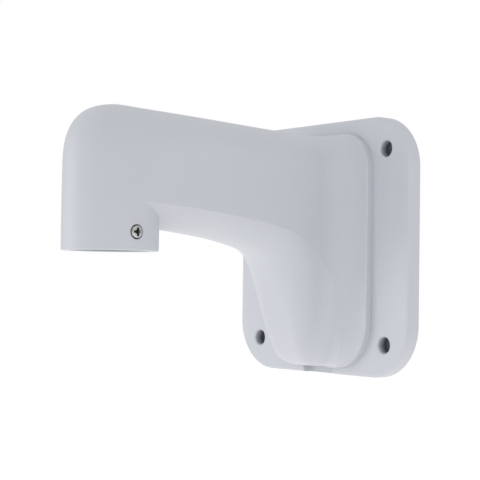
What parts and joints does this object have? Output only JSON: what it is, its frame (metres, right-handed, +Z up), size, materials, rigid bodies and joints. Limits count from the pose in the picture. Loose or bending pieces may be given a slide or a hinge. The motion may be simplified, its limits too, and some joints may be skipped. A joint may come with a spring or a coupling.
{
  "type": "camera wall bracket",
  "caption": "Wall bracket for a pan-tilt-zoom camera: hollow gooseneck arm with a round open neck and side lock screws, on a square wall plate.",
  "frame": {"origin": "centre of the wall plate's back face, which lies on the wall plane", "axes": "+Y into the wall, so the arm reaches towards -Y; +Z up; X across the plate, which the part mirrors about"},
  "size_m": [0.174, 0.211, 0.173],
  "materials": {
    "powder_coat": "satin white powder coat on cast aluminium",
    "stainless_steel": "bright stainless steel",
    "zinc_plate": "zinc-plated steel",
    "black_rubber": "matt black sealing rubber",
    "grey_rubber": "matt grey rubber"
  },
  "bodies": {
    "root": {"arm_casting": "powder_coat", "wall_plate": "powder_coat", "wall_gasket": "black_rubber", "foot_seal": "black_rubber", "cable_entry_plug": "grey_rubber", "neck_seal": "black_rubber", "foot_screw_1": "stainless_steel", "foot_screw_washer_1": "zinc_plate", "foot_screw_2": "stainless_steel", "foot_screw_washer_2": "zinc_plate", "foot_screw_3": "stainless_steel", "foot_screw_washer_3": "zinc_plate", "foot_screw_4": "stainless_steel", "foot_screw_washer_4": "zinc_plate", "lanyard_hook": "zinc_plate", "hook_screw_washer": "zinc_plate", "hook_screw": "stainless_steel"},
    "right_washer": {"lock_washer_right": "black_rubber"},
    "right_screw": {"lock_screw_right": "stainless_steel"},
    "left_washer": {"lock_washer_left": "black_rubber"},
    "left_screw": {"lock_screw_left": "stainless_steel"}
  },
  "joints": [
    {"name": "right_screw_travel", "type": "slide", "parent": "root", "child": "right_washer", "axis": [1, 0, 0], "range_m": [0, 0.0042]},
    {"name": "right_screw_turn", "type": "hinge", "parent": "right_washer", "child": "right_screw", "pos_m": [0.0279, -0.181, 0.0043], "axis": [1, 0, 0], "range_deg": [0, 2161]},
    {"name": "left_screw_travel", "type": "slide", "parent": "root", "child": "left_washer", "axis": [-1, 0, 0], "range_m": [0, 0.0042]},
    {"name": "left_screw_turn", "type": "hinge", "parent": "left_washer", "child": "left_screw", "pos_m": [-0.0279, -0.181, 0.0043], "axis": [-1, 0, 0], "range_deg": [0, 2161]}
  ],
  "couplings": [
    {"joint": "right_screw_turn", "follows": "right_screw_travel", "rad_per_m": 8976},
    {"joint": "left_screw_turn", "follows": "left_screw_travel", "rad_per_m": 8976}
  ]
}
